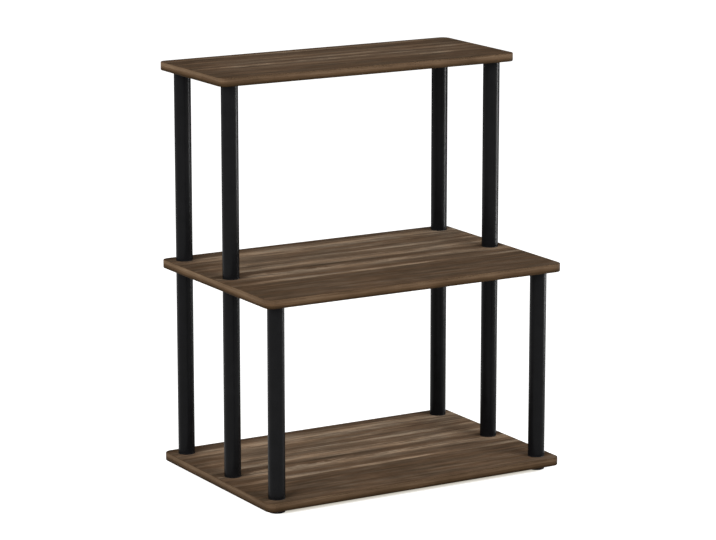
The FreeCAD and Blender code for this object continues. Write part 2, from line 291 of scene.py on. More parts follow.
# A tone goes from 0, the darkest streak, to 1, the palest fleck. Pale bands cross the ground of
# a board along its length, and its front is plain ground. Each band has its place between the
# rear edge and the front edge and its reach either way, as shares of the board's depth, and how
# much it adds to the ground at the left and at the right.
GROUND_TONE = 0.28
DEEP_BANDS = (
    (0.10, 0.09, 0.65, 0.72),
    (0.21, 0.11, 0.36, 0.34),
    (0.31, 0.06, 0.52, 0.66),
    (0.38, 0.06, 0.34, 0.24),
    (0.43, 0.06, 0.68, 0.72),
    (0.54, 0.07, 0.00, 0.56),
    (0.565, 0.07, 0.58, 0.00),
    (0.64, 0.08, 0.00, 0.16),
    (0.67, 0.035, 0.64, 0.12),
)
SHALLOW_BANDS = (
    (0.07, 0.05, 0.40, 0.48),
    (0.27, 0.08, 0.24, 0.42),
    (0.40, 0.09, 0.46, 0.44),
    (0.54, 0.08, 0.50, 0.36),
    (0.67, 0.08, 0.36, 0.54),
)

# Along a board, from -1 at its left end to 1 at its right end: where the bands change from how
# they are at the left to how they are at the right, where they change back, and where the print
# has darkened towards the ends.
BANDS_CHANGE = (0.07, 0.37)
BANDS_RETURN = (0.66, 0.80)
LEFT_END_FADE = (-1.0, -0.68)
RIGHT_END_FADE = (1.0, 0.80)
LEFT_END_TONE = 0.45
RIGHT_END_TONES = {"deep": 1.0, "shallow": 0.75}

# How much a year ring's line and a pore darken the tone, and how high the noise of the pores
# stands where a pore begins and where it is full.
RING_TONE = 0.14
PORE_TONE = 0.20
BAND_PORE_TONE = 0.18
PORE_EDGE = (0.60, 0.72)

# Pale flecks cross one strip of a board. It fades in and out between these shares of the depth,
# stops short of the right end, and adds this much to the tone.
FLECKS_REAR = {"deep": (0.50, 0.52), "shallow": (0.495, 0.515)}
FLECKS_FRONT = {"deep": (0.575, 0.54), "shallow": (0.565, 0.53)}
FLECKS_END = (0.68, 0.54)
FLECK_TONES = {"deep": 0.42, "shallow": 0.60}

# The print's colour wanders between these tints.
WARM_TINT = (1.05, 0.99, 0.94, 1)
COOL_TINT = (0.97, 1.01, 1.05, 1)

# Painted light and shade on the print: how much lighter each board's faces are painted at the left
# and at the right, in place of the light that the board and the tubes above shade off them, where
# the one turns into the other along X, and how much darker its edge band is painted, as painted
# shade.
FACE_PAINTED_LIGHT = {"bottom": (1.08, 1.30), "middle": (1.0, 1.0), "top": (1.0, 1.0)}
PAINTED_LIGHT_CHANGE = (0.0, 0.16)
EDGE_PAINTED_SHADE = {"bottom": 0.90, "middle": 0.98, "top": 0.97}


def walnut_print(kind, walnut, length, depth, pale_bands):
    """A node group that prints boards of one kind. Its place runs along the board in X and
    from the rear edge to the front edge in Y, in metres."""
    group = bpy.data.node_groups.new(f"{kind}_walnut_print", "ShaderNodeTree")
    group.interface.new_socket("Place", in_out="INPUT", socket_type="NodeSocketVector")
    group.interface.new_socket("Colour", in_out="OUTPUT", socket_type="NodeSocketColor")
    group.interface.new_socket("Roughness", in_out="OUTPUT", socket_type="NodeSocketFloat")
    group.interface.new_socket("Relief", in_out="OUTPUT", socket_type="NodeSocketFloat")
    maker = NodeMaker(group)
    place = maker.add("NodeGroupInput").outputs[0]
    along, from_rear, _ = maker.parts_of(place)

    long_waves = maker.swing(maker.grain(place, 0.50, 0.12, layer=1.3), 0.035 * depth)
    short_waves = maker.swing(maker.grain(place, 0.12, 0.03, detail=3, layer=2.7),
                              0.007 * depth)
    wandering = maker.math("ADD", from_rear, maker.math("ADD", long_waves, short_waves))
    share = maker.math("DIVIDE", wandering, depth)
    drift = maker.swing(maker.grain(place, 0.30, 0.02, layer=4.1), 0.40)
    along = maker.math("DIVIDE", along, length / 2)
    side = maker.math("SUBTRACT", maker.rise(maker.math("ADD", along, drift), *BANDS_CHANGE),
                      maker.rise(along, *BANDS_RETURN), clamp=True)
    tone = GROUND_TONE
    for middle, reach, left, right in pale_bands:
        band = maker.math("MULTIPLY", maker.rise(share, middle - reach, middle),
                          maker.rise(share, middle + reach, middle))
        tone = maker.math("MULTIPLY_ADD", band, maker.blend(side, left, right), tone)
    for fade, end_tone in ((LEFT_END_FADE, LEFT_END_TONE),
                           (RIGHT_END_FADE, RIGHT_END_TONES[kind])):
        darkening = maker.blend(maker.rise(along, *fade), end_tone, 1.0)
        tone = maker.math("MULTIPLY", tone, darkening)

    stripes = maker.grain(place, 0.26, 14 * MM, detail=2, layer=3.5)
    streaks = maker.grain(place, 0.16, 5.5 * MM, detail=3, layer=5.9)
    threads = maker.grain(place, 0.07, 1.3 * MM, detail=3, layer=7.7)
    clouds = maker.grain(place, 0.14, 0.05, detail=2, layer=9.1)
    figure = maker.grain(place, 0.035, 9 * MM, detail=2, layer=10.3)
    for noise, reach in ((stripes, 0.28), (streaks, 0.95), (threads, 0.55), (clouds, 0.12),
                         (figure, 0.35)):
        tone = maker.math("ADD", tone, maker.swing(noise, reach * walnut.contrast))

    fleck_zone = maker.math("MULTIPLY", maker.rise(share, *FLECKS_REAR[kind]),
                            maker.rise(share, *FLECKS_FRONT[kind]))
    fleck_zone = maker.math("MULTIPLY", fleck_zone, maker.rise(along, *FLECKS_END))
    flecks = maker.rise(maker.grain(place, 0.036, 5 * MM, detail=2, layer=11.3), 0.50, 0.66)
    tone = maker.math("ADD", tone, maker.math("MULTIPLY", FLECK_TONES[kind],
                                              maker.math("MULTIPLY", fleck_zone, flecks)))
    rings = maker.grain(place, 0.6, 2.4 * MM, detail=1, layer=13.7)
    ring_lines = maker.rise(maker.math("ABSOLUTE", maker.math("SUBTRACT", rings, 0.5)), 0.03, 0.0)
    tone = maker.math("SUBTRACT", tone, maker.math("MULTIPLY", ring_lines, RING_TONE))
    pores = maker.rise(maker.grain(place, 9 * MM, 0.45 * MM, detail=1, layer=15.1), *PORE_EDGE)
    tone = maker.math("SUBTRACT", tone, maker.math("MULTIPLY", pores, PORE_TONE), clamp=True)

    plain = maker.ramp(tone, walnut_colours(walnut), "LINEAR")
    warmth = maker.grain(place, 0.11, 0.016, detail=2, layer=17.9)
    tint = maker.blend_colour(maker.rise(warmth, 0.35, 0.65), WARM_TINT, COOL_TINT)
    tinted = maker.blend_colour(1.0, plain, tint, "MULTIPLY")

    roughness = maker.math("ADD", walnut.roughness, maker.swing(streaks, 0.08))
    roughness = maker.math("MULTIPLY_ADD", pores, 0.12, roughness)
    relief = maker.math("SUBTRACT", maker.math("MULTIPLY", threads, 0.35), pores)
    output = maker.add("NodeGroupOutput")
    for key, result in enumerate((tinted, roughness, relief)):
        maker.tree.links.new(result, output.inputs[key])
    return group


def walnut_colours(walnut):
    """The stops that turn a tone from 0 to 1 into a colour of the print."""
    return ((0.0, walnut.dark), (0.34, walnut.brown), (0.76, walnut.tan), (1.0, walnut.pale))


# How much the satin film reflects on the boards and on the duller edge bands, how strongly the
# pressed pores show, and the chips in a row of the raw core.
BOARD_GLOSS = 0.05
BAND_GLOSS = 0.01
EMBOSS_STRENGTH = 0.5
CHIPS_PER_METRE = 420


def board_material(name, walnut, group):
    """The print on one board, over a particle core, with painted light that lightens the bottom
    board's faces, most towards its right end.
    """
    low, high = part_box(name)
    material, maker, shader = new_material(f"{name}_walnut")
    surface = maker.add("ShaderNodeTexCoord")
    mapping = maker.add("ShaderNodeMapping", {
        "Vector": surface.outputs["Object"],
        "Location": (0, high.y, 0),
        "Scale": (1, -1, 0),
    })
    printed = maker.add("ShaderNodeGroup", node_tree=group)
    maker.tree.links.new(mapping.outputs[0], printed.inputs["Place"])

    chips = maker.add("ShaderNodeTexVoronoi", {"Vector": surface.outputs["Object"],
                                               "Scale": CHIPS_PER_METRE})
    chip_tones = maker.ramp(chips.outputs["Color"], ((0.2, 0.62), (0.8, 1.15)), "LINEAR")
    core = maker.blend_colour(1.0, (*walnut.particles, 1), chip_tones, "MULTIPLY")
    upward = maker.math("ABSOLUTE", maker.parts_of(surface.outputs["Normal"])[2])
    is_face = maker.math("GREATER_THAN", upward, 0.5)
    # Painted light lifts the print on the bottom board's faces, most towards its right end.
    left, right = (maker.tinted(printed.outputs["Colour"], lift)
                   for lift in FACE_PAINTED_LIGHT[name.split("_")[0]])
    painted_light_to_right = maker.rise(maker.parts_of(surface.outputs["Object"])[0], *PAINTED_LIGHT_CHANGE)
    print_with_painted_light = maker.blend_colour(painted_light_to_right, left, right)
    colour = maker.blend_colour(is_face, core, print_with_painted_light)
    roughness = maker.blend(is_face, 0.95, printed.outputs["Roughness"])
    relief = maker.blend(is_face, chips.outputs["Distance"], printed.outputs["Relief"])
    dress(maker, shader, colour, roughness, relief, walnut.emboss, EMBOSS_STRENGTH, BOARD_GLOSS)
    return material


# How light an edge band is from its lower edge to its upper edge, along the board and on its
# ends: both ramps hold painted shade towards the lower edge, and the ends are painted lighter,
# as painted light from the side. At the front, only this share of the ends' own tones shows, and
# between these places along Y it becomes all of them.
BAND_SHADED_TONES = ((0.0, 0.00), (0.25, 0.05), (0.45, 0.26), (0.65, 0.41), (0.8, 0.42), (0.95, 0.22))
END_LIT_TONES = ((0.0, 0.00), (0.25, 0.08), (0.45, 0.36), (0.65, 0.60), (0.8, 0.70), (0.95, 0.60))
FRONT_END_SHARE = 0.2
ENDS_CHANGE = (-0.20, 0.05)
# The print is browner on the edge bands, and painted shade makes it darker towards their lower
# edge.
BAND_HUE_AND_SHADE = ((0.0, (0.46, 0.41, 0.32)), (0.4, (0.90, 0.83, 0.72)), (0.7, (1.0, 0.96, 0.90)))


def edge_band_material(name, walnut):
    """A printed strip with its grain along the edge, with a painted highlight where its corners are
    rounded, painted light on its ends and painted shade towards its lower edge.
    """
    low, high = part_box(name)
    material, maker, shader = new_material(f"{name}_walnut")
    surface = maker.add("ShaderNodeTexCoord")
    x, y, z = maker.parts_of(surface.outputs["Object"])
    around = maker.math("ADD", x, y)
    height = maker.math("DIVIDE", maker.math("SUBTRACT", z, low.z), high.z - low.z)
    place = maker.point(around, z)
    streaks = maker.grain(place, 0.12, 2.2 * MM, detail=3, layer=low.z + 1.1)
    threads = maker.grain(place, 0.04, 0.8 * MM, detail=2, layer=low.z + 3.3)
    patches = maker.grain(place, 0.07, 0.04, detail=2, layer=low.z + 5.5)
    pores = maker.rise(maker.grain(place, 7 * MM, 0.4 * MM, detail=1, layer=low.z + 7.7),
                       *PORE_EDGE)
    outward, _, up = maker.parts_of(surface.outputs["Normal"])
    # Painted light on the band's ends, weaker near the front; painted shade towards the lower edge
    # in both ramps.
    lit_end = maker.math("MULTIPLY", maker.rise(maker.math("ABSOLUTE", outward), 0.35, 0.85),
                        maker.blend(maker.rise(y, *ENDS_CHANGE), FRONT_END_SHARE, 1.0))
    tone = maker.blend(lit_end, maker.ramp(height, BAND_SHADED_TONES), maker.ramp(height, END_LIT_TONES))
    for noise, reach in ((streaks, 0.5), (threads, 0.3), (patches, 0.45)):
        tone = maker.math("ADD", tone, maker.swing(noise, reach * walnut.contrast))
    tone = maker.math("SUBTRACT", tone, maker.math("MULTIPLY", pores, BAND_PORE_TONE))
    # Painted highlight: the band's rounded corners are made paler.
    tilt = maker.math("ABSOLUTE", up)
    rounding = maker.math("MULTIPLY", maker.rise(tilt, 0.1, 0.6), maker.rise(tilt, 1.0, 0.75))
    tone = maker.math("MULTIPLY_ADD", rounding, 0.10, tone, clamp=True)
    colour = maker.ramp(tone, walnut_colours(walnut), "LINEAR")
    # Painted shade darkens the band towards its lower edge.
    colour = maker.blend_colour(1.0, colour, maker.ramp(height, BAND_HUE_AND_SHADE), "MULTIPLY")
    # Painted shade: each shelf's edge band is made darker, most on the bottom shelf.
    colour = maker.tinted(colour, EDGE_PAINTED_SHADE[name.split("_")[0]])
    roughness = maker.math("ADD", walnut.roughness, maker.swing(streaks, 0.08))
    relief = maker.math("SUBTRACT", maker.math("MULTIPLY", threads, 0.35), pores)
    dress(maker, shader, colour, roughness, relief, walnut.emboss, EMBOSS_STRENGTH, BAND_GLOSS)
    return material


# How much the tubes and the moulded fittings reflect, and how deep the drawn lines and the spark
# texture are.
TUBE_GLOSS = 0.05
MOULDING_GLOSS = 0.06
DRAWN_DEPTH = 0.02 * MM
SPARK_DEPTH = 0.03 * MM
# Drawn lines to a metre across a tube, across it the other way, and along it.
DRAWN_LINES = (900, 900, 2.5)
# How far from a tube's end the rubbing stops, and how far from it the rubbing is strongest.
RUBBED_END = (1.6 * MM, 0.2 * MM)
# How much lighter than the plastic its dust, its rubs and its worn high spots are.
DUST_LIFT = 1.3
RUB_LIFT = 3
WEAR_LIFT = 1.9


def tube_material(plastic):
    """Black extruded plastic: faint drawn lines along each tube, a little dust and small
    rubs at the ends, where the tubes are handled and screwed up."""
    material, maker, shader = new_material("tube_black")
    surface = maker.add("ShaderNodeTexCoord")
    place = surface.outputs["Object"]
    drawn = maker.vector("MULTIPLY", place, DRAWN_LINES)
    lines = maker.add("ShaderNodeTexNoise", {"Vector": drawn, "Scale": 1.0, "Detail": 2.0})
    mottle = maker.add("ShaderNodeTexNoise", {"Vector": place, "Scale": 38.0, "Detail": 4.0})
    speckle = maker.add("ShaderNodeTexNoise", {"Vector": place, "Scale": 2400.0, "Detail": 1.0})
    height = maker.parts_of(place)[2]
    rub = None
    for end in sorted({round(corner.z, 5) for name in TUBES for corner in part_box(name)}):
        away = maker.math("ABSOLUTE", maker.math("SUBTRACT", height, end))
        near = maker.rise(away, *RUBBED_END)
        rub = near if rub is None else maker.math("MAXIMUM", rub, near)
    rub = maker.math("MULTIPLY", rub, maker.rise(mottle.outputs[0], 0.42, 0.62))
    dusty = tuple(part * DUST_LIFT for part in plastic.tube)
    rubbed = tuple(part * RUB_LIFT for part in plastic.tube)
    colour = maker.blend_colour(maker.rise(mottle.outputs[0], 0.35, 0.75),
                                (*plastic.tube, 1), (*dusty, 1))
    colour = maker.blend_colour(maker.math("MULTIPLY", rub, 0.6), colour, (*rubbed, 1))
    roughness = maker.math("ADD", plastic.tube_roughness, maker.swing(mottle.outputs[0], 0.09))
    roughness = maker.math("ADD", roughness, maker.swing(lines.outputs[0], 0.05))
    relief = maker.math("ADD", lines.outputs[0],
                        maker.math("MULTIPLY", speckle.outputs[0], 0.4))
    dress(maker, shader, colour, roughness, relief, DRAWN_DEPTH, 0.35, TUBE_GLOSS)
    return material


def moulding_material(plastic):
    """Black moulded plastic with a fine spark texture and paler, rubbed high spots."""
    material, maker, shader = new_material("fitting_black")
    place = maker.add("ShaderNodeTexCoord").outputs["Object"]
    spark = maker.add("ShaderNodeTexNoise", {"Vector": place, "Scale": 2600.0, "Detail": 2.0})
    flow = maker.add("ShaderNodeTexNoise", {"Vector": place, "Scale": 130.0, "Detail": 3.0,
                                            "Distortion": 0.8})
    worn = tuple(part * WEAR_LIFT for part in plastic.fitting)
    colour = maker.blend_colour(maker.rise(flow.outputs[0], 0.4, 0.75),
                                (*plastic.fitting, 1), (*worn, 1))
    roughness = maker.math("ADD", plastic.fitting_roughness, maker.swing(flow.outputs[0], 0.12))
    dress(maker, shader, colour, roughness, spark.outputs[0], SPARK_DEPTH, 0.4, MOULDING_GLOSS)
    return material


def moulding():
    """The one material of all the moulded fittings."""
    made = bpy.data.materials.get("fitting_black")
    return made or moulding_material(bpy.context.scene.shelving_plastic)


# A thread's flanks slope by this much.
FLANK_ANGLE = math.radians(30)
# Points nearer than this are one point.
SAME_POINT = 0.005 * MM


def add_thread(bm, foot, head, root, crest, fittings, turn_start=None):
    """A thread about the Z axis between two heights, which runs out into its root at both. It
    stands out from its root as on a screw, or in from it as in a bore. A turn starts over +X at
    the foot, or else at the height that is given. Gives the lower and the upper ring of edges
    that it leaves open."""
    pitch = fittings.pitch
    outward = math.copysign(1, crest - root)
    turn_start = foot if turn_start is None else turn_start
    # Whole turns that begin below the foot and end above the head, to be cut off there.
    start = turn_start - pitch * (math.ceil((turn_start - foot) / pitch) + 1)
    turns = math.ceil((head - start) / pitch) + 1
    flank = abs(crest - root) * math.tan(FLANK_ANGLE)
    flat = pitch / 2 - flank
    corners = ((root, 0), (root, flat), (crest, flat + flank), (crest, 2 * flat + flank),
               (root, pitch))
    section = [bm.verts.new((radius, 0, start + rise)) for radius, rise in corners]
    edges = [bm.edges.new(pair) for pair in zip(section, section[1:])]
    bmesh.ops.spin(bm, geom=section + edges, cent=(0, 0, 0), axis=(0, 0, 1),
                   dvec=(0, 0, pitch / fittings.turn_steps),
                   angle=2 * math.pi * turns, steps=turns * fittings.turn_steps)
    bmesh.ops.remove_doubles(bm, verts=bm.verts, dist=SAME_POINT)
    for vertex in bm.verts:
        inside = min(vertex.co.z - foot, head - vertex.co.z)
        radius = vertex.co.xy.length
        stands_out = min(outward * (radius - root), max(inside, 0))
        vertex.co.xy *= (root + outward * stands_out) / radius
    rings = []
    for height, clear in ((foot, "clear_inner"), (head, "clear_outer")):
        cut = bmesh.ops.bisect_plane(bm, geom=bm.verts[:] + bm.edges[:] + bm.faces[:],
                                     dist=SAME_POINT, plane_co=(0, 0, height),
                                     plane_no=(0, 0, 1), **{clear: True})
        ring = [item for item in cut["geom_cut"] if isinstance(item, bmesh.types.BMEdge)]
        for corner in {corner for edge in ring for corner in edge.verts}:
            corner.co.xy *= root / corner.co.xy.length
            corner.co.z = height
        rings.append(ring)
    return rings


def add_shell(bm, other):
    """Adds another mesh in the making to this one."""
    scratch = bpy.data.meshes.new("scratch")
    other.to_mesh(scratch)
    other.free()
    bm.from_mesh(scratch)
    bpy.data.meshes.remove(scratch)


def open_ring(bm, height):
    """The ring of open edges at this height."""
    return [edge for edge in bm.edges if edge.is_boundary
            and all(abs(corner.co.z - height) < SAME_POINT for corner in edge.verts)]


def turn_on(bm, ring, *stations):
    """Carries an open ring on through stations, each a radius and a height."""
    for radius, height in stations:
        grown = bmesh.ops.extrude_edge_only(bm, edges=ring)["geom"]
        vertices = [item for item in grown if isinstance(item, bmesh.types.BMVert)]
        ring = [item for item in grown if isinstance(item, bmesh.types.BMEdge)]
        now = vertices[0].co
        scale = radius / now.xy.length
        bmesh.ops.translate(bm, vec=(0, 0, height - now.z), verts=vertices)
        bmesh.ops.scale(bm, vec=(scale, scale, 1), verts=vertices)
    return ring


def close(bm, ring):
    """A flat face over an open ring."""
    bmesh.ops.contextual_create(bm, geom=ring)


# Edges between faces that meet at more than this are drawn sharp.
SHARP_ANGLE = math.radians(28)


def finished_piece(bm, node):
    """Makes the piece that stands for a node of the frame, in its place."""
    low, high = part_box(node)
    bmesh.ops.translate(bm, vec=((low.x + high.x) / 2, (low.y + high.y) / 2, 0), verts=bm.verts)
    bmesh.ops.recalc_face_normals(bm, faces=bm.faces)
    for face in bm.faces:
        face.smooth = True
    mesh = bpy.data.meshes.new(f"{node}_threaded")
    bm.to_mesh(mesh)
    bm.free()
    mesh.set_sharp_from_angle(angle=SHARP_ANGLE)
    mesh.materials.append(moulding())
    piece = bpy.data.objects.new(f"{node}_threaded", mesh)
    bpy.context.scene.collection.objects.link(piece)
    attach(piece, BODY)
    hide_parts(node)
    return piece


def thread_radii(fittings):
    """The root and the crest of every thread, the crest as on the joining studs."""
    low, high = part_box(JOINING_STUDS[0])
    crest = (high.x - low.x) / 2
    return crest - fittings.thread_depth, crest


def make_joining_stud(node, fittings):
    """A thread at each end and a plain neck between them, inside the board."""
    low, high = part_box(node)
    board_low, board_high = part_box("middle_board")
    root, crest = thread_radii(fittings)
    bm, upper = bmesh.new(), bmesh.new()
    add_thread(bm, low.z, board_low.z, root, crest, fittings)
    add_thread(upper, board_high.z, high.z, root, crest, fittings)
    add_shell(bm, upper)
    neck = open_ring(bm, board_low.z) + open_ring(bm, board_high.z)
    bmesh.ops.bridge_loops(bm, edges=neck)
    close(bm, open_ring(bm, low.z))
    close(bm, open_ring(bm, high.z))
    return finished_piece(bm, node)


def screw_foot(plug):
    """The height at which the thread of the screw in this plug starts."""
    low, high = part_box(plug)
    if plug.endswith("_bottom_plug"):
        return low.z
    for screw in JOINING_STUDS + SCREW_PEGS:
        screw_low, screw_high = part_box(screw)
        off_axis = ((screw_low + screw_high - low - high) / 2).xy.length
        if off_axis < SAME_POINT and screw_low.z < high.z < screw_high.z:
            return screw_low.z
    raise ValueError(f"no screw goes into {plug}")


def make_plug(node, fittings):
    """The moulded plug with a thread along its bore, which the screw's thread runs in."""
    low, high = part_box(node)
    root, crest = thread_radii(fittings)
    bore, ridge = crest + fittings.thread_gap, root + fittings.thread_gap
    bm = bmesh.new()
    bm.from_mesh(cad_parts[node].data)
    bmesh.ops.translate(bm, vec=(-(low.x + high.x) / 2, -(low.y + high.y) / 2, 0), verts=bm.verts)
    bmesh.ops.remove_doubles(bm, verts=bm.verts, dist=SAME_POINT)
    wall = [face for face in bm.faces
            if all(abs(corner.co.xy.length - bore) < SAME_POINT for corner in face.verts)]
    heights = [corner.co.z for face in wall for corner in face.verts]
    wall_low, wall_high = min(heights), max(heights)
    bmesh.ops.delete(bm, geom=wall, context="FACES")
    thread = bmesh.new()
    foot, head = wall_low + fittings.plain_mouth, wall_high - fittings.plain_mouth
    add_thread(thread, foot, head, bore, ridge, fittings, screw_foot(node) - fittings.pitch / 2)
    add_shell(bm, thread)
    for pair in ((wall_low, foot), (head, wall_high)):
        ends = [edge for height in pair for edge in open_ring(bm, height)]
        bmesh.ops.bridge_loops(bm, edges=ends)
    return finished_piece(bm, node)


def make_screw_peg(node, fittings):
    """A stout root for the glue, and under it the thread that points down."""
    low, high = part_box(node)
    board_low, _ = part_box(f"{node.split('_')[0]}_board")
    root, crest = thread_radii(fittings)
    peg = (high.x - low.x) / 2
    broken, tip = fittings.edge_break, fittings.peg_tip
    bm = bmesh.new()
    foot, shoulder = add_thread(bm, low.z, board_low.z, root, crest, fittings)
    close(bm, foot)
    top = turn_on(bm, shoulder, (peg - broken, board_low.z), (peg, board_low.z + broken),
                  (peg, high.z - tip), (peg - tip, high.z))
    close(bm, top)
    return finished_piece(bm, node)


def make_foot(node, fittings):
    """A round foot with a rounded lower edge and a recessed underside, and a plain shank
    through the board up to its thread."""
    low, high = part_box(node)
    board_low, board_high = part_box("bottom_board")
    root, crest = thread_radii(fittings)
    foot = (high.x - low.x) / 2
    broken, rounding = fittings.edge_break, fittings.foot_rounding
    bm = bmesh.new()
    shank, tip = add_thread(bm, board_high.z, high.z, root, crest, fittings)
    close(bm, tip)
    stations = [(crest, board_high.z - (crest - root)), (crest, board_low.z),
                (foot - broken, board_low.z), (foot, board_low.z - broken)]
    arc_steps = 6
    for i in range(arc_steps + 1):
        turn = math.pi / 2 * i / arc_steps
        stations.append((foot - rounding * (1 - math.cos(turn)),
                         low.z + rounding * (1 - math.sin(turn))))
    rim = foot - rounding - fittings.foot_rim
    stations += [(rim, low.z), (rim - fittings.foot_recess, low.z + fittings.foot_recess)]
    close(bm, turn_on(bm, shank, *stations))
    return finished_piece(bm, node)


WHITE = (1, 1, 1, 1)
BLACK = (0, 0, 0, 1)

# Where the lamps stand, and their widths and heights.
KEY_PLACE = (-3.1, -1.2, 2.0)
FILL_PLACE = (1.2, -3.0, 2.0)
RIM_PLACE = (1.25, -0.42, 0.5)
SOFTBOX_SIZE = (2.4, 1.6)
RIM_SIZE = (0.24, 2.0)


def add_softbox(name, place, aim, size, power, only_reflected=False):
    """An area lamp that faces a point, its size a width and a height. It gives soft light, or
    else it is only seen in reflections."""
    lamp = bpy.data.lights.new(name, "AREA")
    lamp.shape = "RECTANGLE"
    lamp.size, lamp.size_y = size
    lamp.energy = power
    holder = bpy.data.objects.new(name, lamp)
    holder.location = place
    holder.rotation_mode = "QUATERNION"
    holder.rotation_quaternion = (Vector(aim) - Vector(place)).to_track_quat("-Z", "Y")
    holder.visible_camera = False
    holder.visible_glossy = only_reflected
    holder.visible_diffuse = not only_reflected
    bpy.context.scene.collection.objects.link(holder)


# How wide and how high the flag is, and how far it stands behind the unit's middle.
FLAG_WIDTH, FLAG_HEIGHT, FLAG_DISTANCE = 12.0, 4.0, 2.2


def make_black_flag(studio, middle):
    """A black board behind the unit, seen only in reflections, so that the tubes keep dark
    edges and the boards don't mirror the white background."""
    bm = bmesh.new()
    bmesh.ops.create_grid(bm, x_segments=1, y_segments=1, size=1)
    bmesh.ops.scale(bm, vec=(FLAG_WIDTH / 2, FLAG_HEIGHT / 2, 1), verts=bm.verts)
    bmesh.ops.rotate(bm, cent=(0, 0, 0), matrix=Matrix.Rotation(math.pi / 2, 3, "X"),
                     verts=bm.verts)
    bmesh.ops.translate(bm, vec=(0, FLAG_DISTANCE, FLAG_HEIGHT / 2), verts=bm.verts)
    bmesh.ops.rotate(bm, cent=(0, 0, 0), matrix=Matrix.Rotation(studio.camera_heading, 3, "Z"),
                     verts=bm.verts)
    bmesh.ops.translate(bm, vec=(middle.x, middle.y, 0), verts=bm.verts)
    mesh = bpy.data.meshes.new("studio_flag")
    bm.to_mesh(mesh)
    bm.free()
    flag = bpy.data.objects.new("studio_flag", mesh)
    bpy.context.scene.collection.objects.link(flag)
    material, _, shader = new_material("studio_flag")
    shader.inputs["Base Color"].default_value = BLACK
    shader.inputs["Roughness"].default_value = 1.0
    shader.inputs["Specular IOR Level"].default_value = 0.0
    mesh.materials.append(material)
    for ray in ("camera", "diffuse", "transmission", "volume_scatter", "shadow"):
        setattr(flag, f"visible_{ray}", False)


def seen_directly(maker):
    """1 for what the camera, a reflection or a clear material sees, and 0 for light."""
    path = maker.add("ShaderNodeLightPath").outputs
    seen = maker.math("ADD", path["Is Camera Ray"], path["Is Glossy Ray"])
    return maker.math("ADD", seen, path["Is Transmission Ray"], clamp=True)


def make_surround(studio):
    """A white background whose light on the unit is set apart from how it looks."""
    world = bpy.data.worlds.new("studio_surround")
    world.use_nodes = True
    world.node_tree.nodes.clear()
    maker = NodeMaker(world.node_tree)
    strength = maker.blend(seen_directly(maker), studio.surround, 1.0)
    light = maker.add("ShaderNodeBackground", {"Color": WHITE, "Strength": strength})
    output = maker.add("ShaderNodeOutputWorld")
    maker.tree.links.new(light.outputs[0], output.inputs["Surface"])
    bpy.context.scene.world = world


# Half the width of the floor, which the camera sees nearly to the horizon.
FLOOR_REACH = 40.0
# How far inside the unit's sides, and its front and rear, the shadow under it begins to fade
# out, over what length, and its warm tint.
SHADOW_INSET = Vector((0.046, 0.027))
SHADOW_FADE = 0.025
SHADOW_TINT = (1.0, 0.945, 0.82, 1)


def make_floor(studio):
    """A wide pale floor that looks white and keeps the shadow close to the unit."""
    low, high = CAD_BOX
    middle = (low + high) / 2
    bm = bmesh.new()
    bmesh.ops.create_grid(bm, x_segments=1, y_segments=1, size=FLOOR_REACH)
    mesh = bpy.data.meshes.new("studio_floor")
    bm.to_mesh(mesh)
    bm.free()
    floor = bpy.data.objects.new("studio_floor", mesh)
    bpy.context.scene.collection.objects.link(floor)
    material, maker, shader = new_material("studio_floor")
    shader.inputs["Base Color"].default_value = (*studio.floor, 1)
    shader.inputs["Roughness"].default_value = 1.0
    shader.inputs["Specular IOR Level"].default_value = 0.0
    place = maker.add("ShaderNodeTexCoord").outputs["Object"]
    off_middle = maker.vector("ABSOLUTE", maker.vector("SUBTRACT", place, (
        middle.x, middle.y, 0)))
    beside = maker.vector("SUBTRACT", off_middle, (
        high.x - middle.x - SHADOW_INSET.x, high.y - middle.y - SHADOW_INSET.y, 0))
    distance = maker.vector("LENGTH", maker.vector("MAXIMUM", beside, (0, 0, 0)))
    open_floor = maker.rise(distance, 0.0, SHADOW_FADE)
    glow = maker.math("MULTIPLY", seen_directly(maker),
                      maker.blend(open_floor, studio.floor_glow, 1.0))
    tint = maker.blend_colour(open_floor, SHADOW_TINT, WHITE)
    for key, result in (("Emission Color", tint), ("Emission Strength", glow)):
        maker.tree.links.new(result, shader.inputs[key])
    mesh.materials.append(material)


def make_camera(studio):
    """A long lens that looks down on the unit from its front left."""
    lens = bpy.data.cameras.new("studio_camera")
    lens.lens = studio.lens
    lens.clip_end = 100
    camera = bpy.data.objects.new("studio_camera", lens)
    camera.location = studio.camera_place
    camera.rotation_euler = (math.pi / 2 - studio.camera_tilt, 0, studio.camera_heading)
    bpy.context.scene.collection.objects.link(camera)
    bpy.context.scene.camera = camera


class SHELVING_OT_boards(bpy.types.Operator):
    """Print the walnut on the three boards"""

    bl_idname = "shelving.boards"
    bl_label = "Boards"

    def execute(self, context):
        walnut = context.scene.shelving_walnut
        prints = {}
        for kind, board, pale_bands in (("deep", "bottom_board", DEEP_BANDS),
                                        ("shallow", "top_board", SHALLOW_BANDS)):
            low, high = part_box(board)
            prints[kind] = walnut_print(kind, walnut, high.x - low.x, high.y - low.y, pale_bands)
        for name in BOARDS:
            kind = "shallow" if name == "top_board" else "deep"
            give(name, board_material(name, walnut, prints[kind]))
        return {"FINISHED"}


class SHELVING_OT_edge_bands(bpy.types.Operator):
    """Print the walnut on the edge bands"""

    bl_idname = "shelving.edge_bands"
    bl_label = "Edge Bands"

    def execute(self, context):
        for name in EDGE_BANDS:
            give(name, edge_band_material(name, context.scene.shelving_walnut))
        return {"FINISHED"}


class SHELVING_OT_tubes(bpy.types.Operator):
    """Give the tubes their black plastic"""

    bl_idname = "shelving.tubes"
    bl_label = "Tubes"

    def execute(self, context):
        material = tube_material(context.scene.shelving_plastic)
        for name in TUBES:
            give(name, material)
        return {"FINISHED"}


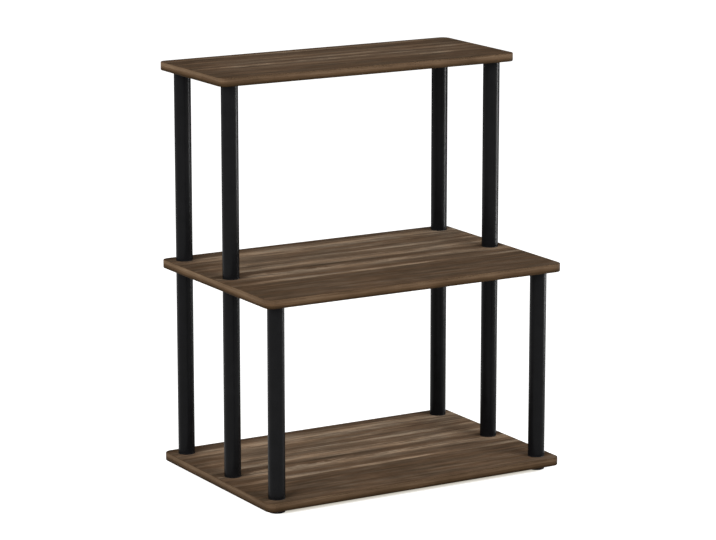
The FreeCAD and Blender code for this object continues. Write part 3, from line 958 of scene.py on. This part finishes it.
class SHELVING_OT_plugs(bpy.types.Operator):
    """Model the threaded plugs in the tubes' ends"""

    bl_idname = "shelving.plugs"
    bl_label = "Plugs"

    def execute(self, context):
        for node in PLUGS:
            make_plug(node, context.scene.shelving_fittings)
        return {"FINISHED"}


class SHELVING_OT_joining_studs(bpy.types.Operator):
    """Model the double-ended studs that join a tube to the tube above it"""

    bl_idname = "shelving.joining_studs"
    bl_label = "Joining Studs"

    def execute(self, context):
        for node in JOINING_STUDS:
            make_joining_stud(node, context.scene.shelving_fittings)
        return {"FINISHED"}


class SHELVING_OT_screw_pegs(bpy.types.Operator):
    """Model the threaded pegs glued into the boards from below"""

    bl_idname = "shelving.screw_pegs"
    bl_label = "Screw Pegs"

    def execute(self, context):
        for node in SCREW_PEGS:
            make_screw_peg(node, context.scene.shelving_fittings)
        return {"FINISHED"}


class SHELVING_OT_feet(bpy.types.Operator):
    """Model the feet with their screws"""

    bl_idname = "shelving.feet"
    bl_label = "Feet"

    def execute(self, context):
        for node in FEET:
            make_foot(node, context.scene.shelving_fittings)
        return {"FINISHED"}


class SHELVING_OT_studio(bpy.types.Operator):
    """Set up the floor, the lamps and the camera"""

    bl_idname = "shelving.studio"
    bl_label = "Studio"

    def execute(self, context):
        studio = context.scene.shelving_studio
        low, high = CAD_BOX
        middle = (low + high) / 2
        add_softbox("key_lamp", KEY_PLACE, middle, SOFTBOX_SIZE, studio.key_power)
        add_softbox("fill_lamp", FILL_PLACE, middle, SOFTBOX_SIZE, studio.fill_power)
        add_softbox("rim_lamp", RIM_PLACE, middle, RIM_SIZE, studio.rim_power, True)
        make_surround(studio)
        make_black_flag(studio, middle)
        make_floor(studio)
        make_camera(studio)
        context.scene.view_settings.view_transform = "Standard"
        return {"FINISHED"}


class SHELVING_PT_sidebar(bpy.types.Panel):
    """The sizes, the colours and the steps of the shelving unit"""

    bl_idname = "SHELVING_PT_sidebar"
    bl_label = "Shelving Unit"
    bl_space_type = "VIEW_3D"
    bl_region_type = "UI"
    bl_category = "Shelving Unit"

    def draw(self, context):
        for title, (holder, group) in SETTINGS.items():
            box = self.layout.box()
            box.label(text=title)
            for name in group.__annotations__:
                box.prop(getattr(context.scene, holder), name)
        for operator in OPERATORS:
            self.layout.operator(operator.bl_idname)


SETTINGS = {
    "Walnut": ("shelving_walnut", WalnutSettings),
    "Plastic": ("shelving_plastic", PlasticSettings),
    "Fittings": ("shelving_fittings", FittingSettings),
    "Studio": ("shelving_studio", StudioSettings),
}
OPERATORS = (
    SHELVING_OT_boards, SHELVING_OT_edge_bands, SHELVING_OT_tubes, SHELVING_OT_plugs,
    SHELVING_OT_joining_studs, SHELVING_OT_screw_pegs, SHELVING_OT_feet, SHELVING_OT_studio,
)


def register():
    """Adds the settings to the scene, and the steps and the sidebar to Blender."""
    for holder, group in SETTINGS.values():
        bpy.utils.register_class(group)
        setattr(bpy.types.Scene, holder, PointerProperty(type=group))
    for item in (*OPERATORS, SHELVING_PT_sidebar):
        bpy.utils.register_class(item)


def unregister():
    """Takes away what register added."""
    for item in (SHELVING_PT_sidebar, *reversed(OPERATORS)):
        bpy.utils.unregister_class(item)
    for holder, group in reversed(SETTINGS.values()):
        delattr(bpy.types.Scene, holder)
        bpy.utils.unregister_class(group)


def main():
    """Makes all the pieces."""
    register()
    bpy.ops.shelving.boards()
    bpy.ops.shelving.edge_bands()
    bpy.ops.shelving.tubes()
    bpy.ops.shelving.plugs()
    bpy.ops.shelving.joining_studs()
    bpy.ops.shelving.screw_pegs()
    bpy.ops.shelving.feet()
    bpy.ops.shelving.studio()


if __name__ == "__main__":
    main()
